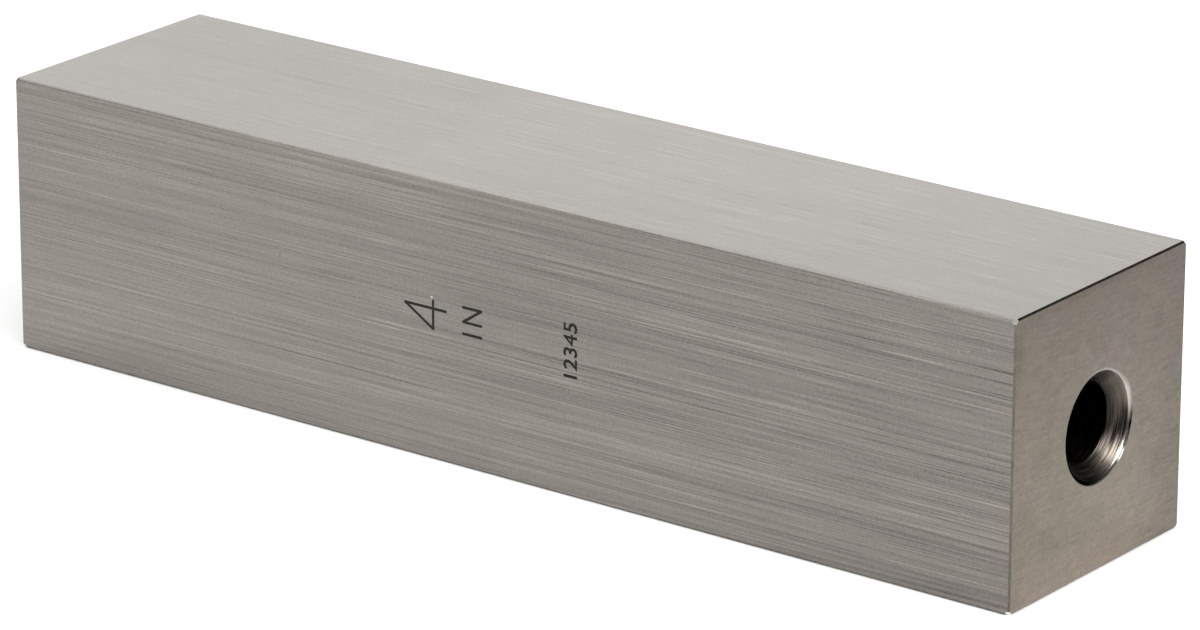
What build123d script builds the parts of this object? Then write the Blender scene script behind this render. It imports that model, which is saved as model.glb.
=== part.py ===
from build123d import *
import os

# Square gauge block of 4 inches: one bar of hardened steel, 0.950 inch square in section.
# Its two end faces are lapped, and stand the nominal size apart. Its four sides are ground.
# A bore for a tie rod runs through the middle of its length, and is countersunk at both ends.
#
# Frame: the block lies on one side. The origin is at the middle of that side, +X runs along
# the length from one measuring face to the other, and +Z is up. Its marked side faces -Y.

# Sizes, in millimetres and degrees
nominal_length = 101.6  # between the two measuring faces, 4 inches
section_side = 24.13  # across the square section, 0.950 inch
long_edge_radius = 0.35  # the four long edges are rounded
end_edge_break = 0.15  # the edges round each measuring face are stoned to a small chamfer
corner_break = 0.62  # how far each corner is stoned back, measured along its three edges
bore_diameter = 6.6  # clears the tie rod of a stack, 0.260 inch
countersink_diameter = 9.15  # where the cone meets the measuring face, before its rim is rounded
countersink_angle = 82  # across the whole cone
countersink_rim_radius = 0.5  # the mouth is rounded, so that no burr stands above the face

# Places
half_length = nominal_length / 2
half_side = section_side / 2

with BuildPart() as gauge_block:
    # The square bar, lying on its lower side
    with BuildSketch(Plane.YZ.offset(-half_length)):
        with Locations((0, half_side)):
            Rectangle(section_side, section_side)
    extrude(amount=nominal_length)

    # Its long edges are rounded, and then the edges round each measuring face are broken
    fillet(gauge_block.edges().filter_by(Axis.X), radius=long_edge_radius)
    chamfer(gauge_block.faces().filter_by(Axis.X).edges(), length=end_edge_break)

    # The eight corners are stoned back, each square to the diagonal that ends in it
    for along in (-1, 1):
        for across in (-1, 1):
            for up in (-1, 1):
                corner = Vector(along * half_length, across * half_side, half_side + up * half_side)
                outward = Vector(along, across, up).normalized()
                depth = corner_break / 3**0.5
                split(bisect_by=Plane(origin=corner - outward * depth, z_dir=outward), keep=Keep.BOTTOM)

    # The bore, countersunk from each measuring face
    for end in (-1, 1):
        with Locations(Plane(origin=(end * half_length, 0, half_side), z_dir=(end, 0, 0))):
            CounterSinkHole(
                radius=bore_diameter / 2,
                counter_sink_radius=countersink_diameter / 2,
                counter_sink_angle=countersink_angle,
            )

    # The mouths of the two countersinks are rounded over
    mouths = [face.inner_wires()[0].edge() for face in gauge_block.faces().filter_by(Axis.X)]
    fillet(mouths, radius=countersink_rim_radius)

gauge_block.part.label = "gauge_block"

os.makedirs("parts", exist_ok=True)
export_step(gauge_block.part, "parts/gauge_block.step")
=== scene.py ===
import math

import bmesh
import bpy
from mathutils import Matrix, Vector


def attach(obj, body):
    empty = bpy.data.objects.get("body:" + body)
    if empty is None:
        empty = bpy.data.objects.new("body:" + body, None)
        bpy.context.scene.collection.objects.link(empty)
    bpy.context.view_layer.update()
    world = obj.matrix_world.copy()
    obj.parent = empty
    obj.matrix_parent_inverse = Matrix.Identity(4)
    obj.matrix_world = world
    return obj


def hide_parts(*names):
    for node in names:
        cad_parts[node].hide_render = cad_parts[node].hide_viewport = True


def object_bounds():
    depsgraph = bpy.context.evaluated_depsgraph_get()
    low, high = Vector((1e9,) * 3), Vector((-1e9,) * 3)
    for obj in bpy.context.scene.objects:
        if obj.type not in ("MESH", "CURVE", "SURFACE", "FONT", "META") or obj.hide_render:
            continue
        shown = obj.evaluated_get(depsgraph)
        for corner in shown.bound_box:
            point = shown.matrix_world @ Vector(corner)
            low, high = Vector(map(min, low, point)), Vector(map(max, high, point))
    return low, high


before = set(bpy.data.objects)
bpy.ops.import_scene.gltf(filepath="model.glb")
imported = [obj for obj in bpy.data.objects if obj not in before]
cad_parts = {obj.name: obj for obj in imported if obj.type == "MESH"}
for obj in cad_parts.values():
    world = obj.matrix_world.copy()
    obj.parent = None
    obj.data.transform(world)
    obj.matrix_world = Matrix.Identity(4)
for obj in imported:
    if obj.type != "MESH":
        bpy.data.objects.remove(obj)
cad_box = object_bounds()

bl_info = {
    "name": "Square gauge block",
    "version": (1, 0, 0),
    "blender": (4, 5, 0),
    "location": "View3D > Sidebar > Gauge block",
    "description": "A 4 inch square gauge block with ground sides, lapped ends and a countersunk bore",
    "category": "Object",
}

# The frame: +X runs along the block, its marked side faces -Y, and it lies on Z = 0.
MM = 0.001
LOW, HIGH = cad_box
LENGTH = HIGH.x - LOW.x
SIDE = HIGH.z - LOW.z
CENTRE = (LOW + HIGH) / 2
TINY = 0.001 * MM  # two points nearer than this are the same point
FLAT = 0.9999  # a normal with more than this along X belongs to a flat measuring face

# How finely the round shapes are divided.
RIM_STEPS = 10
BORE_SIDES = 192
STROKE_SIDES = 20

# The etched marks, as shares: a digit's height of its text's size, how high the figure's crossbar
# stands and how far across its stem does, and how far across IN the N begins.
DIGIT_SHARE = 0.7
CROSSBAR_UP = 0.31
STEM_ACROSS = 0.73
N_ACROSS = 0.443
DIGIT_SPACING = 1.05  # the letters' own spacing is 1

FINISH_ORDER = ("side", "lapped", "turned", "edge", "top", "rim", "corner")

# Three faces, each as the corner that its marks are measured from, the way across and the way down.
SIDE_FACE = ((LOW.x, LOW.y, HIGH.z), (1, 0, 0), (0, 0, -1))
TOP_FACE = ((LOW.x, HIGH.y, HIGH.z), (1, 0, 0), (0, -1, 0))
END_FACE = ((HIGH.x, LOW.y, HIGH.z), (0, 1, 0), (0, 0, -1))
# The grain that lapping leaves: its slope in degrees, its length in millimetres, its strength.
LAPPING = ((3, 2.2, 0.6), (-24, 1.6, 0.35), (52, 1.1, 0.2))
# The layers of the grinding streaks: how many times coarser than the finest, and their weights.
STREAK_LAYERS = ((1.0, 0.55), (2.3, 0.305), (5.5, 0.12), (14.0, 0.025))
BUMP_HEIGHT = 0.02 * MM
STAINED_BORDER = 3.5 * MM
# The side of the bore on which the rims' painted shade lies.
LOWER_LEFT = (0.0, -0.766, -0.643)  # from the bore's axis, as seen from +X
WHITE = (1, 1, 1)
# The soft lights: which way each hangs from the block, how far off, its width and height in
# metres, its power in watts and its colour.
LIGHTS = {
    "back_left": ((-0.57, 0.75, 0.42), 1.2, 1.1, 0.8, 5.13, (0.992, 1.0, 0.997)),
    "strip_over": ((-0.57, -0.05, 0.82), 1.0, 1.3, 0.35, 4.25, WHITE),
    "strip_front": ((-0.57, -0.764, 0.30), 1.0, 0.4, 0.6, 1.75, WHITE),
    "front_right": ((0.5, -0.72, 0.62), 1.6, 1.15, 1.15, 10.5, WHITE),
    "right": ((0.826, -0.146, 0.545), 0.8, 0.45, 0.40, 5.2, WHITE),
    "overhead": ((0.1, 0.0, 1.0), 1.5, 1.4, 1.4, 13.4, WHITE),
}
# Scratches and, in the first five lines, broad lighter and darker places that are painted light and painted
# shade: how far across and down in millimetres, length, half width, slope in degrees, strength.
SIDE_MARKS = (
    (18.0, 14.0, 110.0, 80.0, 0, 0.09),
    (98.0, 14.0, 60.0, 60.0, 0, -0.06),
    (55.0, 23.0, 120.0, 7.0, 0, 0.12),
    (60.0, 9.0, 44.0, 14.0, 0, -0.07),
    (50.0, 9.0, 120.0, 7.0, 0, -0.05),
    (60.0, 4.2, 76.0, 0.18, 0, 0.13),
    (76.0, 5.4, 80.0, 0.35, 0, -0.12),
    (66.0, 7.4, 64.0, 0.25, 0, 0.1),
    (70.0, 8.1, 80.0, 0.28, 0, -0.13),
    (32.0, 10.5, 76.0, 0.16, 0, 0.13),
    (60.0, 12.7, 44.0, 0.22, 0, -0.13),
    (72.0, 18.2, 96.0, 0.35, 0, 0.13),
    (29.0, 9.7, 0.8, 0.08, 75, -0.5),
    (36.8, 14.8, 0.6, 0.08, 5, -0.5),
    (45.0, 10.1, 0.3, 0.14, 0, 2.5),
    (13.7, 23.3, 1.6, 0.08, -25, 0.4),
    (12.9, 23.5, 0.9, 0.07, 35, 0.4),
    (85.4, 18.6, 1.2, 0.07, -60, 0.4),
    (85.9, 19.2, 0.7, 0.07, -20, 0.35),
    (96.4, 3.6, 0.9, 0.07, -50, 0.5),
    (97.3, 3.4, 0.6, 0.07, 30, 0.4),
    (99.2, 2.9, 0.7, 0.08, -70, 0.6),
    (99.3, 11.2, 1.6, 0.06, -65, -0.3),
)
# On the top the first line is a broad lighter place of painted light, and the rest are scratches.
TOP_MARKS = (
    (66.0, 4.0, 120.0, 36.0, 0, 0.12),
    (61.4, 2.6, 1.6, 0.08, -60, -0.25),
    (62.1, 3.4, 1.3, 0.07, -75, -0.2),
    (62.3, 4.4, 0.7, 0.07, 70, -0.2),
    (25.0, 3.7, 0.7, 0.09, -50, 0.35),
    (27.5, 4.0, 0.6, 0.09, -50, 0.35),
    (27.0, 22.3, 0.6, 0.09, -60, 0.3),
    (9.6, 1.9, 0.8, 0.07, -50, 0.2),
)
# On the countersinks' rims, all painted light: a painted highlight on the upper right, painted shade a
# little below the right and a painted glint on the lower right.
RIM_PAINTED_LIGHT = (
    (16.1, 10.1, 4.0, 0.9, -65, 0.55),
    (16.3, 13.25, 3.8, 0.66, 74, -1.1),
    (15.28, 15.28, 1.6, 0.5, 45, 6.0),
)
# On the cones, all painted light: painted shade a little below the right, a painted highlight on the upper
# right and a painted glint on the lower right.
CONE_PAINTED_LIGHT = (
    (15.8, 13.2, 6.8, 3.2, 78, -0.75),
    (16.1, 12.7, 3.8, 0.8, 82, -0.85),
    (15.9, 10.35, 3.6, 0.4, -65, 2.5),
    (15.15, 15.15, 1.3, 0.35, 45, 2.2),
)
# On the end, the first, second, fifth and sixth lines are broad places of painted light and painted shade,
# the third, fourth and seventh are darker places near the edges, and the rest are scratches and faint light
# streaks.
END_MARKS = (
    (24.0, 14.0, 40.0, 9.0, 90, -0.19),
    (9.0, 24.8, 34.0, 6.5, 0, 0.3),
    (0.5, 3.0, 6.0, 1.1, 90, -0.16),
    (1.0, 23.2, 4.0, 1.6, 30, -0.14),
    (22.5, 21.5, 16.0, 5.5, 75, -0.2),
    (5.0, 21.0, 24.0, 7.0, 0, 0.07),
    (12.0, 0.3, 26.0, 0.8, 0, -0.12),
    (1.2, 9.2, 2.6, 0.08, -12, -0.3),
    (9.8, 20.8, 7.5, 0.08, -3, -0.18),
    (2.4, 12.5, 6.0, 0.25, 84, 0.08),
    (3.4, 11.5, 5.0, 0.18, 80, 0.07),
)


# ---------------------------------------------------------------------------
# What a user may change
# ---------------------------------------------------------------------------


def length_property(name, description, millimetres):
    return bpy.props.FloatProperty(
        name=name, description=description, default=millimetres * MM, min=0.0, unit="LENGTH", precision=5
    )


def angle_property(name, description, degrees):
    return bpy.props.FloatProperty(
        name=name, description=description, default=math.radians(degrees), subtype="ANGLE"
    )


def colour_property(name, description, red, green, blue):
    return bpy.props.FloatVectorProperty(
        name=name, description=description, default=(red, green, blue), min=0.0, max=1.0, subtype="COLOR"
    )


def share_property(name, description, share):
    return bpy.props.FloatProperty(
        name=name, description=description, default=share, min=0.0, max=1.0, subtype="FACTOR"
    )


def place_property(name, description, x, y, z):
    return bpy.props.FloatVectorProperty(
        name=name, description=description, default=(x * MM, y * MM, z * MM), subtype="TRANSLATION"
    )


class BlockSizes(bpy.types.PropertyGroup):
    """The edges and the bore. The block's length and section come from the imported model."""

    long_edge_radius: length_property("Long edge radius", "Rounding of the four long edges", 0.35)
    end_edge_break: length_property("End edge break", "Chamfer round each measuring face", 0.15)
    corner_break: length_property("Corner break", "How far a corner is stoned back along its edges", 0.62)
    bore_diameter: length_property("Bore diameter", "Bore that clears the tie rod", 6.6)
    countersink_diameter: length_property(
        "Countersink diameter", "Where the cone would meet the measuring face", 9.15
    )
    countersink_angle: angle_property("Countersink angle", "Angle across the whole cone", 82)
    rim_radius: length_property("Rim radius", "Rounding of the countersink's mouth", 0.5)


class MarkSizes(bpy.types.PropertyGroup):
    """The nominal size, etched in thin strokes on the side that faces -Y. It reads upwards."""

    stroke_width: length_property("Stroke width", "Width of an etched stroke", 0.25)
    etch_depth: length_property("Etch depth", "Depth of an etched stroke", 0.03)
    figure_height: length_property("Figure height", "Height of the figure", 4.44)
    figure_width: length_property("Figure width", "Width of the figure", 2.65)
    letter_height: length_property("Letter height", "Height of the unit's letters", 2.09)
    letters_width: length_property("Letters' width", "Width of the unit's two letters together", 2.51)
    gap: length_property("Gap", "Between the figure and the unit", 1.56)
    letters_aside: length_property("Letters aside", "How far the unit is off the figure's middle", 0.2)
    from_left: length_property("From the left end", "From the left end to the top of the figure", 42.12)
    from_top: length_property("From the top", "From the upper side to the middle of the marks", 11.6)
    number: bpy.props.StringProperty(
        name="Number", description="Plain number of the block", default="12345"
    )
    number_height: length_property("Number height", "Height of the number's digits", 1.33)
    number_width: length_property("Number width", "Width of the whole number", 4.62)
    number_bolder: length_property("Number bolder", "How far the digits' strokes are swollen", 0.05)
    number_from_top: length_property("Number from the top", "From the upper side to its middle", 11.75)
    number_from_left: length_property("Number from the left", "From the left end to the digits' foot", 59.8)


class Finishes(bpy.types.PropertyGroup):
    """Colours and roughness of the block's surfaces."""

    ground_colour: colour_property("Ground sides", "Colour of the four ground sides", 0.2055, 0.191, 0.1735)
    ground_roughness: share_property("Ground roughness", "Roughness of the ground sides", 0.36)
    side_contrast: share_property("Side contrast", "How strong the streaks are at the front and back", 0.34)
    top_contrast: share_property("Top contrast", "How strong the streaks are above and below", 0.118)
    lapped_colour: colour_property("Lapped faces", "Colour of the measuring faces", 0.1731, 0.1476, 0.1223)
    lapped_roughness: share_property("Lapped roughness", "Roughness of the measuring faces", 0.28)
    stain_colour: colour_property("Stain", "Colour of the faint stains on the steel", 0.195, 0.163, 0.13)
    turned_colour: colour_property("Turned bore", "Colour of the bore and its cones", 0.087, 0.074, 0.063)
    turned_roughness: share_property("Turned roughness", "Roughness of the bore and its cones", 0.3)
    # The broken edges' dark colour is partly painted shade, for the dark line along the end edges.
    edge_colour: colour_property("Broken edges", "Colour of the broken end edges", 0.122, 0.11, 0.092)
    edge_roughness: share_property("Edge roughness", "Roughness of the broken edges", 0.28)
    # The corners' light colour is partly a painted highlight.
    corner_colour: colour_property("Stoned corners", "Colour of the eight corners", 0.8, 0.77, 0.74)
    corner_roughness: share_property("Corner roughness", "Roughness of the corners", 0.55)
    rim_colour: colour_property("Countersink rims", "Colour of the rounded mouths", 0.297, 0.275, 0.248)
    etched_colour: colour_property("Etched marks", "Colour of the etched strokes", 0.02, 0.018, 0.016)
    floor_colour: colour_property("Floor", "Colour of the pale floor", 0.93, 0.93, 0.93)


class Studio(bpy.types.PropertyGroup):
    """The camera and the soft lights."""

    azimuth: angle_property("Azimuth", "How far the camera stands round from the marked side", 37.134)
    elevation: angle_property("Elevation", "How far the camera looks down", 19.329)
    roll: angle_property("Roll", "How far the camera leans", 0.123)
    distance: length_property("Distance", "From the camera to the point it looks at", 533.3)
    looks_at: place_property("Looks at", "The point in the middle of the view", 1.70, 0.64, 10.57)
    lens: bpy.props.FloatProperty(
        name="Lens", description="Focal length on a 36 mm sensor", default=194.92, min=1.0, unit="CAMERA"
    )


# ---------------------------------------------------------------------------
# Small tools for modelling
# ---------------------------------------------------------------------------


def nothing_selected():
    """Leaves edit mode with nothing selected, so that an operator acts on the new piece alone."""
    if bpy.context.object and bpy.context.object.mode != "OBJECT":
        bpy.ops.object.mode_set(mode="OBJECT")
    bpy.ops.object.select_all(action="DESELECT")


def make_active(piece):
    nothing_selected()
    piece.select_set(True)
    bpy.context.view_layer.objects.active = piece


def place_in_mesh(piece, name):
    """Names a new piece and moves its place into its mesh, as the CAD nodes have it."""
    make_active(piece)
    piece.name = name
    piece.data.name = name
    bpy.ops.object.transform_apply(location=True, rotation=True, scale=True)
    return piece


def edit(piece):
    make_active(piece)
    bpy.ops.object.mode_set(mode="EDIT")


def finish_edit():
    bpy.ops.object.mode_set(mode="OBJECT")


def select(piece, kind, wanted):
    """In edit mode, selects the verts, edges or faces that wanted says yes to."""
    bpy.ops.mesh.select_mode(type={"verts": "VERT", "edges": "EDGE", "faces": "FACE"}[kind])
    bpy.ops.mesh.select_all(action="DESELECT")
    mesh = bmesh.from_edit_mesh(piece.data)
    mesh.normal_update()
    chosen = [item for item in getattr(mesh, kind) if wanted(item)]
    if not chosen:
        raise RuntimeError(f"{piece.name}: no {kind} to select")
    for item in chosen:
        item.select_set(True)
    bmesh.update_edit_mesh(piece.data)


def apply_modifier(piece, kind, **settings):
    """Adds a modifier to a piece, sets it and applies it."""
    modifier = piece.modifiers.new(kind.lower(), kind)
    for name, value in settings.items():
        setattr(modifier, name, value)
    make_active(piece)
    bpy.ops.object.modifier_apply(modifier=modifier.name)


def at_x(edge, x):
    """True if an edge lies in the plane at x."""
    return all(abs(vert.co.x - x) < TINY for vert in edge.verts)


# ---------------------------------------------------------------------------
# The block
# ---------------------------------------------------------------------------


def square_bar(sizes):
    """The bar with its long edges rounded, its end edges broken and its corners stoned back."""
    bpy.ops.mesh.primitive_cube_add(size=1.0, location=CENTRE, scale=(LENGTH, SIDE, SIDE))
    bar = place_in_mesh(bpy.context.object, "square_gauge_block")
    edit(bar)
    select(bar, "edges", lambda e: abs(e.verts[0].co.x - e.verts[1].co.x) > LENGTH / 2)
    bpy.ops.mesh.bevel(offset=sizes.long_edge_radius, segments=8, profile=0.5, affect="EDGES")
    select(bar, "edges", lambda e: at_x(e, LOW.x) or at_x(e, HIGH.x))
    bpy.ops.mesh.bevel(offset=sizes.end_edge_break, segments=1, affect="EDGES")
    for along in (LOW.x, HIGH.x):
        for across in (LOW.y, HIGH.y):
            for up in (LOW.z, HIGH.z):
                corner = Vector((along, across, up))
                signs = (math.copysign(1, axis) for axis in corner - CENTRE)
                outward = Vector(signs).normalized()
                bpy.ops.mesh.select_all(action="SELECT")
                bpy.ops.mesh.bisect(
                    plane_co=corner - outward * sizes.corner_break / math.sqrt(3),
                    plane_no=outward,
                    use_fill=True,
                    clear_outer=True,
                )
    finish_edit()
    return bar


def bore_profile(sizes):
    """Half of the bore's outline, from the measuring face inwards: how deep, and the radius there."""
    half_angle = sizes.countersink_angle / 2
    turn = math.pi / 2 - half_angle  # from the flat face round to the cone
    sharp_radius = sizes.countersink_diameter / 2
    mouth_radius = sharp_radius + sizes.rim_radius * math.tan(turn / 2)
    points = []
    for step in range(RIM_STEPS + 1):
        turned = turn * step / RIM_STEPS
        depth = sizes.rim_radius * (1 - math.cos(turned))
        points.append((depth, mouth_radius - sizes.rim_radius * math.sin(turned)))
    bore_radius = sizes.bore_diameter / 2
    points.append(((sharp_radius - bore_radius) / math.tan(half_angle), bore_radius))
    return points


def bore_wall(sizes):
    """The wall of the bore and its two countersinks, as an open tube from face to face."""
    right = [(HIGH.x - depth, radius) for depth, radius in bore_profile(sizes)]
    left = [(LOW.x + depth, radius) for depth, radius in reversed(bore_profile(sizes))]
    rings = right + left
    x, radius = rings[0]
    bpy.ops.mesh.primitive_circle_add(
        vertices=BORE_SIDES, radius=radius, location=(x, CENTRE.y, CENTRE.z), rotation=(0, math.pi / 2, 0)
    )
    wall = place_in_mesh(bpy.context.object, "bore_wall")
    edit(wall)
    bpy.ops.mesh.select_all(action="SELECT")
    for next_x, next_radius in rings[1:]:
        bpy.ops.mesh.extrude_region_move(TRANSFORM_OT_translate={"value": (next_x - x, 0, 0)})
        scale = next_radius / radius
        bpy.ops.transform.resize(value=(1, scale, scale), center_override=(next_x, CENTRE.y, CENTRE.z))
        x, radius = next_x, next_radius
    finish_edit()
    return wall


def drill(bar, sizes):
    """Opens the two measuring faces of the bar and joins the bore's wall to them."""
    wall = bore_wall(sizes)
    edit(bar)
    select(bar, "faces", lambda f: abs(f.normal.x) > FLAT)
    bpy.ops.mesh.delete(type="FACE")
    finish_edit()
    make_active(bar)
    wall.select_set(True)
    bpy.ops.object.join()
    edit(bar)
    for x in (LOW.x, HIGH.x):
        select(bar, "edges", lambda e: e.is_boundary and at_x(e, x))
        bpy.ops.mesh.fill(use_beauty=True)
    bpy.ops.mesh.select_all(action="SELECT")
    bpy.ops.mesh.normals_make_consistent(inside=False)
    finish_edit()


def smooth_rounds(piece):
    """Smooth rounds and bore, with the flats kept flat up to their edges."""
    make_active(piece)
    bpy.ops.object.shade_smooth_by_angle(angle=math.radians(30))
    apply_modifier(piece, "WEIGHTED_NORMAL", mode="FACE_AREA", weight=100, keep_sharp=True)


# ---------------------------------------------------------------------------
# The etched size
# ---------------------------------------------------------------------------


def pen_stroke(start, end, sizes, material):
    """A cutter with round ends: a short pin at start, with its far half moved on to end."""
    depth = 2 * sizes.etch_depth
    bpy.ops.mesh.primitive_cylinder_add(
        vertices=STROKE_SIDES,
        radius=sizes.stroke_width / 2,
        depth=depth,
        location=start,
        rotation=(math.pi / 2, 0, 0),
    )
    stroke = place_in_mesh(bpy.context.object, "pen_stroke")
    stroke.data.materials.append(material)
    run = end - start
    edit(stroke)
    select(stroke, "verts", lambda v: (v.co - start).dot(run) > 0)
    bpy.ops.transform.translate(value=run)
    finish_edit()
    return stroke


def cut_away(block, cutter, use_self=False):
    """Cuts a shape out of the block. The cut takes the cutter's material, and the cutter goes.

    use_self is slower, and is for a cutter whose surface may cross itself.
    """
    settings = {"operation": "DIFFERENCE", "solver": "EXACT", "material_mode": "TRANSFER"}
    apply_modifier(block, "BOOLEAN", object=cutter, use_self=use_self, **settings)
    bpy.data.objects.remove(cutter)


def size_strokes(sizes):
    """Start and end of each stroke of the figure 4 and of IN, as (across, up) from the figure's foot."""
    right = (sizes.figure_width - sizes.stroke_width) / 2
    left = -right
    top = sizes.figure_height - sizes.stroke_width
    crossbar = CROSSBAR_UP * top
    stem = left + STEM_ACROSS * (right - left)
    figure = [
        ((left, crossbar), (right, crossbar)),
        ((stem, 0), (stem, top)),
        ((stem, top), (left, crossbar)),
    ]
    right = sizes.letters_aside + (sizes.letters_width - sizes.stroke_width) / 2
    left = right - (sizes.letters_width - sizes.stroke_width)
    top = -sizes.gap - sizes.stroke_width
    foot = top - sizes.letter_height + sizes.stroke_width
    n_left = left + N_ACROSS * (right - left)
    letters = [
        ((left, foot), (left, top)),
        ((n_left, foot), (n_left, top)),
        ((n_left, top), (right, foot)),
        ((right, foot), (right, top)),
    ]
    return figure + letters


def etch_size(block, sizes, material):
    """Cuts the nominal size into the side that faces -Y. The mark reads upwards."""
    foot_of_figure = LOW.x + sizes.from_left + sizes.figure_height - sizes.stroke_width / 2

    def on_side(across, up):
        return Vector((foot_of_figure - up, LOW.y, HIGH.z - sizes.from_top + across))

    for start, end in size_strokes(sizes):
        cut_away(block, pen_stroke(on_side(*start), on_side(*end), sizes, material))


def etch_number(block, sizes, material):
    """Cuts the plain number into the side that faces -Y, in digits that read upwards."""
    foot = Vector((LOW.x + sizes.number_from_left, LOW.y, HIGH.z - sizes.number_from_top))
    bpy.ops.object.text_add()
    text = bpy.context.object
    text.data.body = sizes.number
    text.data.align_x = "CENTER"
    text.data.size = sizes.number_height / DIGIT_SHARE
    text.data.space_character = DIGIT_SPACING
    text.data.extrude = sizes.etch_depth
    make_active(text)
    bpy.ops.object.convert(target="MESH")
    text = bpy.context.object
    wider = Matrix.Diagonal((sizes.number_width / text.dimensions.x, 1, 1))
    reads_upwards = Matrix(((0, -1, 0), (0, 0, -1), (1, 0, 0)))
    text.matrix_world = Matrix.Translation(foot) @ (reads_upwards @ wider).to_4x4()
    place_in_mesh(text, "number")
    text.data.materials.clear()
    text.data.materials.append(material)
    edit(text)
    bpy.ops.mesh.select_all(action="SELECT")
    bpy.ops.mesh.remove_doubles(threshold=TINY)
    bpy.ops.mesh.normals_make_consistent(inside=False)
    bpy.ops.transform.shrink_fatten(value=sizes.number_bolder)
    finish_edit()
    cut_away(block, text, use_self=True)


# ---------------------------------------------------------------------------
# Small tools for materials
# ---------------------------------------------------------------------------


def add_node(tree, kind, inputs=None, **settings):
    """Adds a node, makes its settings, and sets or links its inputs, by name or by number."""
    made = tree.nodes.new(kind)
    for name, value in settings.items():
        setattr(made, name, value)
    for name, value in (inputs or {}).items():
        if isinstance(value, bpy.types.NodeSocket):
            tree.links.new(value, made.inputs[name])
        else:
            made.inputs[name].default_value = value
    return made


def maths(tree, operation, *values):
    return add_node(tree, "ShaderNodeMath", dict(enumerate(values)), operation=operation).outputs[0]


def vector_maths(tree, operation, *values):
    values = [(value,) * 3 if isinstance(value, float) else value for value in values]
    made = add_node(tree, "ShaderNodeVectorMath", dict(enumerate(values)), operation=operation)
    return made.outputs["Value" if operation in ("LENGTH", "DOT_PRODUCT") else "Vector"]


def remap(tree, value, low, high, to_low=0.0, to_high=1.0, smooth=False):
    """value from low..high to to_low..to_high, held at both ends."""
    inputs = {"Value": value, "From Min": low, "From Max": high, "To Min": to_low, "To Max": to_high}
    kind = "SMOOTHSTEP" if smooth else "LINEAR"
    return add_node(tree, "ShaderNodeMapRange", inputs, interpolation_type=kind).outputs["Result"]


def noise(tree, vector, detail, roughness=0.5):
    inputs = {"Vector": vector, "Scale": 1.0, "Detail": detail, "Roughness": roughness}
    return add_node(tree, "ShaderNodeTexNoise", inputs).outputs["Fac"]


def new_group(name, inputs, outputs):
    """An empty node group. inputs is a list of (name, default), and outputs a list of names."""
    group = bpy.data.node_groups.new(name, "ShaderNodeTree")
    for socket_name, default in inputs:
        kind = "NodeSocketVector" if default is None else "NodeSocketFloat"
        socket = group.interface.new_socket(name=socket_name, in_out="INPUT", socket_type=kind)
        if default is not None:
            socket.default_value = default
    for socket_name in outputs:
        group.interface.new_socket(name=socket_name, in_out="OUTPUT", socket_type="NodeSocketFloat")
    return group, group.nodes.new("NodeGroupInput").outputs, group.nodes.new("NodeGroupOutput").inputs


def split(tree, vector):
    """The three parts of a vector, as X, Y and Z."""
    return add_node(tree, "ShaderNodeSeparateXYZ", {"Vector": vector}).outputs


def combine(tree, x, y, z):
    return add_node(tree, "ShaderNodeCombineXYZ", {"X": x, "Y": y, "Z": z}).outputs["Vector"]


def in_millimetres(tree, vector, x, y, z):
    """The place divided by three sizes in millimetres."""
    sizes = combine(tree, x, y, z)
    return vector_maths(tree, "DIVIDE", vector_maths(tree, "MULTIPLY", vector, 1 / MM), sizes)


def round_the_bore(tree, place):
    """How far a place is from the bore's axis, in millimetres, and which way it lies from it."""
    from_axis = vector_maths(tree, "SUBTRACT", place, tuple(CENTRE))
    sideways = vector_maths(tree, "MULTIPLY", from_axis, (0.0, 1 / MM, 1 / MM))
    return vector_maths(tree, "LENGTH", sideways), vector_maths(tree, "NORMALIZE", sideways)


def streaks_group():
    """Thin streaks along X, as a grinding wheel leaves them, from fine ones to broad bands."""
    group, given, result = new_group(
        "Grinding streaks", [("Vector", None), ("Length", 20.0), ("Width", 0.15)], ["Fac"]
    )
    total = 0.0
    for layer, (coarser, weight) in enumerate(STREAK_LAYERS):
        length = maths(group, "MULTIPLY", given["Length"], coarser**0.4)  # wide ones are a bit longer
        width = maths(group, "MULTIPLY", given["Width"], coarser)
        place = in_millimetres(group, given["Vector"], length, width, width)
        apart = (17.3 * layer, 5.1 * layer, 9.7 * layer)  # keeps the layers from running together
        place = vector_maths(group, "ADD", place, apart)
        total = maths(group, "MULTIPLY_ADD", noise(group, place, detail=1.0), weight, total)
    group.links.new(total, result["Fac"])
    return group


def hairlines_group():
    """Sparse single hairlines along X. Fac is 0 between them and 1 on the strongest."""
    group, given, result = new_group(
        "Hairlines", [("Vector", None), ("Length", 20.0), ("Width", 0.07), ("Least", 0.62)], ["Fac"]
    )
    place = in_millimetres(group, given["Vector"], given["Length"], given["Width"], given["Width"])
    most = maths(group, "ADD", given["Least"], 0.16)  # a hairline is at full strength from here on
    group.links.new(remap(group, noise(group, place, detail=0.0), given["Least"], most), result["Fac"])
    return group


def clouds_group():
    """Soft patches of tone, with their size in millimetres. Fac is 0.5 on average."""
    group, given, result = new_group("Tone patches", [("Vector", None), ("Size", 5.0)], ["Fac"])
    place = in_millimetres(group, given["Vector"], given["Size"], given["Size"], given["Size"])
    group.links.new(noise(group, place, detail=3.0, roughness=0.55), result["Fac"])
    return group


def rings_group():
    """Rings round the bore, as a drill and a countersink leave them, broken up along each ring."""
    group, given, result = new_group("Turned rings", [("Vector", None), ("Width", 0.2)], ["Fac"])
    radius, way = round_the_bore(group, given["Vector"])
    from_middle = maths(group, "ABSOLUTE", split(group, given["Vector"])["X"])
    from_middle = maths(group, "MULTIPLY", from_middle, 1 / MM)
    along_wall = maths(group, "DIVIDE", maths(group, "ADD", from_middle, radius), given["Width"])
    round_it = 1.2  # how much a ring changes on its way round
    place = vector_maths(group, "MULTIPLY_ADD", way, round_it, combine(group, along_wall, 0.0, 0.0))
    group.links.new(noise(group, place, detail=1.0, roughness=0.6), result["Fac"])
    return group


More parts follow.
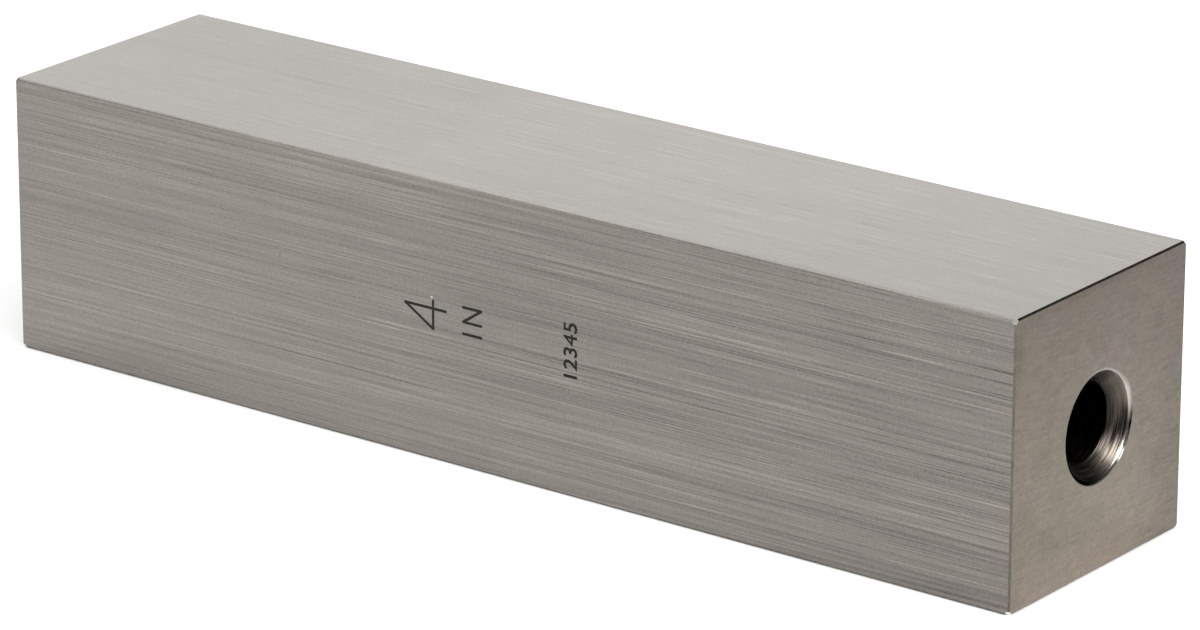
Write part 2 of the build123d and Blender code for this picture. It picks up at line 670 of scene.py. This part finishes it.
def scratch_and_painted_light_group():
    """One short mark, used for scratches and for places of painted light and painted shade. Fac is 1 on it
    and 0 off it.
    """
    group, given, result = new_group(
        "Scratch",
        [("Vector", None), ("Place", None), ("Along", None), ("Length", 1.0), ("Width", 0.1)],
        ["Fac"],
    )
    offset = vector_maths(group, "SUBTRACT", given["Vector"], given["Place"])
    offset = vector_maths(group, "MULTIPLY", offset, 1 / MM)
    run = vector_maths(group, "DOT_PRODUCT", offset, given["Along"])
    aside = vector_maths(group, "SUBTRACT", offset, vector_maths(group, "MULTIPLY", given["Along"], run))
    half_length = maths(group, "MULTIPLY", given["Length"], 0.5)
    along_it = remap(group, maths(group, "ABSOLUTE", run), 0.0, half_length, 1.0, 0.0, smooth=True)
    aside = vector_maths(group, "LENGTH", aside)
    across_it = remap(group, aside, 0.0, given["Width"], 1.0, 0.0, smooth=True)
    group.links.new(maths(group, "MULTIPLY", along_it, across_it), result["Fac"])
    return group


def new_material(name):
    material = bpy.data.materials.new(name)
    material.use_nodes = True
    tree = material.node_tree
    tree.nodes.clear()
    shader = tree.nodes.new("ShaderNodeBsdfPrincipled")
    output = tree.nodes.new("ShaderNodeOutputMaterial")
    tree.links.new(shader.outputs["BSDF"], output.inputs["Surface"])
    place = tree.nodes.new("ShaderNodeTexCoord").outputs["Object"]
    return material, tree, shader.inputs, place


def set_metal(tree, shader, colour, roughness, metallic=1.0):
    """Bare metal whose colour and roughness change over the surface."""
    tree.links.new(colour, shader["Base Color"])
    tree.links.new(roughness, shader["Roughness"])
    shader["Metallic"].default_value = metallic


def set_bump(tree, shader, height, strength):
    """Lets a pattern roughen the surface a little."""
    inputs = {"Height": height, "Strength": strength, "Distance": BUMP_HEIGHT}
    bump = add_node(tree, "ShaderNodeBump", inputs)
    tree.links.new(bump.outputs["Normal"], shader["Normal"])


def turned_place(tree, place, x, y, z):
    """The place turned about the axes by three angles in degrees."""
    angles = (math.radians(x), math.radians(y), math.radians(z))
    inputs = {"Vector": place, "Rotation": angles}
    return add_node(tree, "ShaderNodeMapping", inputs).outputs["Vector"]


def place_group(tree, group, **inputs):
    """Adds a node group to a material, with its inputs set or linked, and gives its pattern."""
    made = tree.nodes.new("ShaderNodeGroup")
    made.node_tree = group
    for name, value in inputs.items():
        if isinstance(value, bpy.types.NodeSocket):
            tree.links.new(value, made.inputs[name])
        else:
            made.inputs[name].default_value = value
    return made.outputs["Fac"]


def vary(tree, tone, fac, amount):
    """Adds a pattern that is 0.5 on average to a tone, so that the tone's average stays."""
    return maths(tree, "MULTIPLY_ADD", maths(tree, "SUBTRACT", fac, 0.5), amount, tone)


def tinted(tree, colour, stain, share, brightness):
    """The plain colour, mixed with its stain, times a brightness that changes over the surface."""
    inputs = {0: share, 6: (*colour, 1.0), 7: (*stain, 1.0)}  # 6 and 7 are the node's two colours
    mixed = add_node(tree, "ShaderNodeMix", inputs, data_type="RGBA").outputs[2]
    return vector_maths(tree, "MULTIPLY", mixed, brightness)


def add_scratches_and_painted_light(tree, tone, place, group, face, marks):
    """Adds light and dark scratches, and places of painted light and painted shade, to a tone, measured
    across and down from a corner of a face.
    """
    corner, across, down = (Vector(part) for part in face)
    for right, below, length, width, slope, strength in marks:
        slope = math.radians(slope)
        at = corner + (across * right + down * below) * MM
        run = across * math.cos(slope) - down * math.sin(slope)
        fac = place_group(tree, group, Vector=place, Place=at, Along=run, Length=length, Width=width)
        tone = maths(tree, "MULTIPLY_ADD", fac, strength, tone)
    return tone


def ground_steel(name, finishes, groups, contrast, width, patchy, face, marks):
    """A side of the block, ground along its length in long fine streaks.

    width is that of the finest streaks in millimetres, and patchy is how far they come and go.
    """
    material, tree, shader, place = new_material(name)
    askew = turned_place(tree, place, 0.0, 0.4, 0.4)
    fine = place_group(tree, groups["streaks"], Vector=place, Length=38.0, Width=width)
    crossing = place_group(tree, groups["streaks"], Vector=askew, Length=15.0, Width=0.8 * width)
    light = place_group(tree, groups["hairlines"], Vector=askew, Length=19.0, Width=0.085, Least=0.66)
    dark = place_group(tree, groups["hairlines"], Vector=place, Length=15.0, Width=0.08, Least=0.68)
    streaks = vary(tree, vary(tree, 0.0, fine, 4.6), crossing, 2.8)
    streaks = maths(tree, "MULTIPLY_ADD", light, 0.9, streaks)
    streaks = maths(tree, "MULTIPLY_ADD", dark, -0.3, streaks)

    # The streaks grow stronger towards +X, and come and go in patches.
    strength = remap(tree, split(tree, place)["X"], LOW.x, HIGH.x, 0.78 * contrast, 1.18 * contrast)
    patch = place_group(tree, groups["clouds"], Vector=place, Size=4.0)
    patches = remap(tree, patch, 0.4, 0.6, 1.0 - patchy, 1.0 + patchy, smooth=True)
    tone = maths(tree, "MULTIPLY_ADD", streaks, maths(tree, "MULTIPLY", strength, patches), 1.0)

    grit = place_group(tree, groups["clouds"], Vector=place, Size=0.22)
    tone = vary(tree, tone, grit, 0.36 + 0.7 * contrast)
    cloud = place_group(tree, groups["clouds"], Vector=place, Size=12.0)
    tone = vary(tree, tone, cloud, 0.02 + 0.3 * patchy)
    # The marks add scratches, and the broad places of painted light and painted shade.
    tone = add_scratches_and_painted_light(tree, tone, place, groups["scratch"], face, marks)
    colour = vector_maths(tree, "MULTIPLY", finishes.ground_colour, tone)
    set_metal(tree, shader, colour, vary(tree, finishes.ground_roughness, fine, 0.2 * contrast))
    set_bump(tree, shader, fine, 0.12 * contrast)
    return material


def lapped_steel(finishes, groups):
    """The measuring faces: a matt grey with a fine grain, faintly stained near its edges, with painted
    light that makes them brighter below and darker above.
    """
    material, tree, shader, place = new_material("lapped_steel")
    cloud = place_group(tree, groups["clouds"], Vector=place, Size=3.5)
    blotch = place_group(tree, groups["clouds"], Vector=place, Size=1.1)
    grit = place_group(tree, groups["clouds"], Vector=place, Size=0.3)
    tone = vary(tree, 1.0, cloud, 0.3)
    tone = vary(tree, tone, blotch, 0.24)
    tone = vary(tree, tone, grit, 0.5)
    for slope, length, strength in LAPPING:
        leaning = turned_place(tree, place, slope, 0.0, 90)
        grain = place_group(tree, groups["streaks"], Vector=leaning, Length=length, Width=0.12)
        tone = vary(tree, tone, grain, strength)

    parts = split(tree, place)
    aside = maths(tree, "ABSOLUTE", parts["Y"])
    above = maths(tree, "ABSOLUTE", maths(tree, "SUBTRACT", parts["Z"], CENTRE.z))
    from_middle = maths(tree, "MAXIMUM", aside, above)
    border = remap(tree, from_middle, SIDE / 2 - STAINED_BORDER, SIDE / 2, smooth=True)
    stain = maths(tree, "MULTIPLY", border, remap(tree, blotch, 0.42, 0.62, smooth=True))
    tone = maths(tree, "MULTIPLY_ADD", stain, -0.15, tone)
    # Painted light and shade: brighter at the bottom of the face, darker at the top.
    painted_light_below = remap(tree, parts["Z"], LOW.z, HIGH.z, 1.33, 0.74)
    tone = maths(tree, "MULTIPLY", tone, painted_light_below)
    # Scratches and places of painted light and painted shade on the end.
    tone = add_scratches_and_painted_light(tree, tone, place, groups["scratch"], END_FACE, END_MARKS)

    hue = place_group(tree, groups["clouds"], Vector=place, Size=9.0)
    tint = combine(tree, vary(tree, 1.0, hue, 0.19), 1.0, vary(tree, 1.0, hue, 0.25))
    colour = tinted(tree, finishes.lapped_colour, finishes.stain_colour, stain, tone)
    colour = vector_maths(tree, "MULTIPLY", colour, tint)
    set_metal(tree, shader, colour, vary(tree, finishes.lapped_roughness, cloud, 0.1))
    return material


def turned_steel(finishes, groups):
    """The bore and its countersinks: rings left by the cutter, with painted shade that darkens them the
    deeper they lie and on the right, painted light at the bottom, and painted highlights, glints and shade
    on the cones.
    """
    material, tree, shader, place = new_material("turned_steel")
    ring = place_group(tree, groups["rings"], Vector=place, Width=0.17)
    cloud = place_group(tree, groups["clouds"], Vector=place, Size=1.5)
    radius, way = round_the_bore(tree, place)
    bore, cone, half_way, rim = 3.2, 3.4, 4.0, 4.4  # radii in millimetres
    # Painted shade: the bore darker than the cones, and the cones darker inwards.
    tone = remap(tree, radius, bore, cone, 0.25, 0.75)
    tone = maths(tree, "ADD", tone, remap(tree, radius, cone, rim, 0.0, 0.6))
    parts = split(tree, way)
    # Painted light: brighter at the bottom of the bore and cones.
    tone = maths(tree, "ADD", tone, remap(tree, parts["Z"], -0.6, -1.0, 0.0, 0.25))
    # Painted shade on the right (+Y) side of the cones, strongest at their inner part.
    on_the_right = remap(tree, parts["Y"], 0.5, 0.9)
    shade = maths(tree, "MULTIPLY", on_the_right, remap(tree, radius, cone, half_way, 0.42, 0.0))
    tone = maths(tree, "SUBTRACT", tone, shade)

    stronger_below = remap(tree, parts["Z"], 0.3, -0.4, 1.2, 3.8)
    marks = vary(tree, vary(tree, 1.0, ring, stronger_below), cloud, 0.7)
    # Painted highlights, glints and shade on the cones.
    marks = add_scratches_and_painted_light(tree, marks, place, groups["scratch"], END_FACE, CONE_PAINTED_LIGHT)
    tone = maths(tree, "MULTIPLY", tone, maths(tree, "MAXIMUM", marks, 0.09))
    colour = vector_maths(tree, "MULTIPLY", finishes.turned_colour, tone)
    set_metal(tree, shader, colour, vary(tree, finishes.turned_roughness, ring, 0.25))
    set_bump(tree, shader, ring, 0.5)
    return material


def broken_steel(name, colour, roughness, groups, upper_share=1.0):
    """The broken end edges, or the stoned corners, whose light colour is partly a painted highlight.

    upper_share is how bright the uppermost are, as a share of the lowest; below 1 it is painted light that
    keeps the lower ones brighter.
    """
    material, tree, shader, place = new_material(name)
    cloud = place_group(tree, groups["clouds"], Vector=place, Size=0.8)
    # Painted light: darker upwards when upper_share is below 1.
    tone = remap(tree, split(tree, place)["Z"], LOW.z, HIGH.z, 1.0, upper_share)
    tone = vary(tree, tone, cloud, 0.8 * upper_share)
    colour = vector_maths(tree, "MULTIPLY", colour, tone)
    set_metal(tree, shader, colour, vary(tree, roughness, cloud, 0.1), metallic=0.92)
    return material


def rim_steel(finishes, groups):
    """The rounded mouth of a countersink, with painted light: brighter inwards as a painted highlight,
    painted shade on its lower left, and painted highlights, glints and shade on the right.
    """
    material, tree, shader, place = new_material("countersink_rim")
    cloud = place_group(tree, groups["clouds"], Vector=place, Size=0.8)
    radius, way = round_the_bore(tree, place)
    cone_side, face_side, mouth = 4.5, 4.7, 4.78  # radii in millimetres
    # Painted highlight: brighter towards the cone, darker towards the flat face.
    tone = vary(tree, remap(tree, radius, cone_side, face_side, 1.15, 0.52), cloud, 0.6)
    # Painted shade on the lower left of the outer rim, in the colour and in the specular tint.
    lower_left = remap(tree, vector_maths(tree, "DOT_PRODUCT", way, LOWER_LEFT), 0.25, 0.85)
    dark = maths(tree, "MULTIPLY", lower_left, remap(tree, radius, face_side, mouth, 0.9, 0.0))
    left_over = maths(tree, "SUBTRACT", 1.0, dark)
    tree.links.new(left_over, shader["Specular Tint"])
    tone = maths(tree, "MULTIPLY", tone, left_over)
    # Painted highlights, glints and shade on the rim.
    tone = add_scratches_and_painted_light(tree, tone, place, groups["scratch"], END_FACE, RIM_PAINTED_LIGHT)
    colour = vector_maths(tree, "MULTIPLY", finishes.rim_colour, tone)
    set_metal(tree, shader, colour, vary(tree, finishes.edge_roughness, cloud, 0.1))
    return material


def etched_steel(finishes, groups):
    """The floor of the etched strokes."""
    material, tree, shader, place = new_material("etched_steel")
    cloud = place_group(tree, groups["clouds"], Vector=place, Size=0.2)
    tone = vary(tree, 1.0, cloud, 0.8)
    tree.links.new(vector_maths(tree, "MULTIPLY", finishes.etched_colour, tone), shader["Base Color"])
    shader["Roughness"].default_value = 0.8
    shader["Specular IOR Level"].default_value = 0.2
    return material


def pale_floor(finishes):
    material, _, shader, _ = new_material("pale_floor")
    shader["Base Color"].default_value = (*finishes.floor_colour, 1.0)
    shader["Roughness"].default_value = 0.9
    return material


def finish_of(face, sizes):
    """Which finish a face of the block gets, from where it lies and which way it looks."""
    normal = face.normal
    flat_end = abs(normal.x) > FLAT
    mouth = bore_profile(sizes)[0][1]
    if math.hypot(face.center.y - CENTRE.y, face.center.z - CENTRE.z) < mouth and not flat_end:
        cone_normal = math.sin(sizes.countersink_angle / 2)
        return "rim" if abs(normal.x) > cone_normal + 0.001 else "turned"
    if flat_end:
        return "lapped"
    if min(abs(part) for part in normal) > 0.4:  # it looks all three ways at once
        return "corner"
    if abs(normal.x) > 0.1:  # it leans towards an end
        return "edge"
    return "top" if abs(normal.z) > 0.7 else "side"


def finish_faces(block, sizes, materials):
    """Gives each face of the block its finish. The materials come in the order of FINISH_ORDER."""
    for material in materials:
        block.data.materials.append(material)
    for face in block.data.polygons:
        face.material_index = FINISH_ORDER.index(finish_of(face, sizes))


# ---------------------------------------------------------------------------
# The stage
# ---------------------------------------------------------------------------


def softbox(name, direction, distance, width, height, power, colour):
    """A soft rectangular light that faces the block."""
    data = bpy.data.lights.new(name, "AREA")
    data.shape = "RECTANGLE"
    data.size = width
    data.size_y = height
    data.energy = power
    data.color = colour
    light = bpy.data.objects.new(name, data)
    bpy.context.scene.collection.objects.link(light)
    away = Vector(direction).normalized()
    light.location = CENTRE + away * distance
    light.rotation_euler = away.to_track_quat("Z", "Y").to_euler()


def aim_camera(studio):
    data = bpy.data.cameras.new("camera")
    data.sensor_width = 36.0
    data.lens = studio.lens
    data.clip_start = 0.01
    data.clip_end = 100.0
    camera = bpy.data.objects.new("camera", data)
    bpy.context.scene.collection.objects.link(camera)
    azimuth, elevation = studio.azimuth, studio.elevation
    level = math.cos(elevation)
    back = Vector((math.sin(azimuth) * level, -math.cos(azimuth) * level, math.sin(elevation)))
    turn = back.to_track_quat("Z", "Y").to_matrix() @ Matrix.Rotation(studio.roll, 3, "Z")
    stands_at = Vector(studio.looks_at) + back * studio.distance
    camera.matrix_world = Matrix.Translation(stands_at) @ turn.to_4x4()
    bpy.context.scene.camera = camera


# ---------------------------------------------------------------------------
# Operators
# ---------------------------------------------------------------------------


class GAUGEBLOCK_OT_block(bpy.types.Operator):
    """Models the block, etches its size and gives each surface its finish"""

    bl_idname = "gaugeblock.block"
    bl_label = "Block"

    def execute(self, context):
        scene = context.scene
        sizes, finishes = scene.gauge_block_sizes, scene.gauge_block_finishes
        groups = {
            "streaks": streaks_group(),
            "hairlines": hairlines_group(),
            "clouds": clouds_group(),
            "rings": rings_group(),
            "scratch": scratch_and_painted_light_group(),
        }
        side = ground_steel(
            "ground_side", finishes, groups, finishes.side_contrast, 0.078, 0.15, SIDE_FACE, SIDE_MARKS
        )
        top = ground_steel(
            "ground_top", finishes, groups, finishes.top_contrast, 0.28, 0.6, TOP_FACE, TOP_MARKS
        )
        lapped = lapped_steel(finishes, groups)
        turned = turned_steel(finishes, groups)
        # Dark edges, partly painted shade.
        edge = broken_steel("broken_edge", finishes.edge_colour, finishes.edge_roughness, groups)
        # Light corners, partly a painted highlight, with painted light that keeps the lower ones brighter.
        corner = broken_steel(
            "stoned_corner", finishes.corner_colour, finishes.corner_roughness, groups, upper_share=0.32
        )
        rim = rim_steel(finishes, groups)
        etched = etched_steel(finishes, groups)

        block = square_bar(sizes)
        drill(block, sizes)
        finish_faces(block, sizes, (side, lapped, turned, edge, top, rim, corner))
        etch_size(block, scene.gauge_block_marks, etched)
        etch_number(block, scene.gauge_block_marks, etched)
        smooth_rounds(block)
        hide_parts("gauge_block")
        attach(block, "root")
        return {"FINISHED"}


class GAUGEBLOCK_OT_stage(bpy.types.Operator):
    """Lays the pale floor, hangs the soft lights and aims the camera"""

    bl_idname = "gaugeblock.stage"
    bl_label = "Stage"

    def execute(self, context):
        scene = context.scene
        nothing_selected()
        bpy.ops.mesh.primitive_plane_add(size=6.0, location=(0, 0, LOW.z))
        floor = bpy.context.object
        floor.name = "floor"
        floor.data.materials.append(pale_floor(scene.gauge_block_finishes))

        world = bpy.data.worlds.new("studio")
        world.use_nodes = True
        world.node_tree.nodes["Background"].inputs["Color"].default_value = (0.02, 0.02, 0.02, 1.0)
        scene.world = world
        for name, light in LIGHTS.items():
            softbox(name, *light)
        aim_camera(scene.gauge_block_studio)
        scene.view_settings.view_transform = "Standard"
        return {"FINISHED"}


class GAUGEBLOCK_PT_panel(bpy.types.Panel):
    """Shows the sizes and finishes that can be changed, and buttons for the block and its stage"""

    bl_idname = "GAUGEBLOCK_PT_panel"
    bl_label = "Gauge block"
    bl_space_type = "VIEW_3D"
    bl_region_type = "UI"
    bl_category = "Gauge block"

    def draw(self, context):
        for name, group in PROPERTIES.items():
            box = self.layout.box()
            for prop in group.__annotations__:
                box.prop(getattr(context.scene, name), prop)
        for operator in OPERATORS:
            self.layout.operator(operator.bl_idname)


PROPERTIES = {
    "gauge_block_sizes": BlockSizes,
    "gauge_block_marks": MarkSizes,
    "gauge_block_finishes": Finishes,
    "gauge_block_studio": Studio,
}
OPERATORS = (GAUGEBLOCK_OT_block, GAUGEBLOCK_OT_stage)


def register():
    for name, group in PROPERTIES.items():
        bpy.utils.register_class(group)
        setattr(bpy.types.Scene, name, bpy.props.PointerProperty(type=group))
    for cls in (*OPERATORS, GAUGEBLOCK_PT_panel):
        bpy.utils.register_class(cls)


def unregister():
    for cls in reversed((*OPERATORS, GAUGEBLOCK_PT_panel)):
        bpy.utils.unregister_class(cls)
    for name, group in PROPERTIES.items():
        delattr(bpy.types.Scene, name)
        bpy.utils.unregister_class(group)


def main():
    register()
    bpy.ops.gaugeblock.block()
    bpy.ops.gaugeblock.stage()


if __name__ == "__main__":
    main()
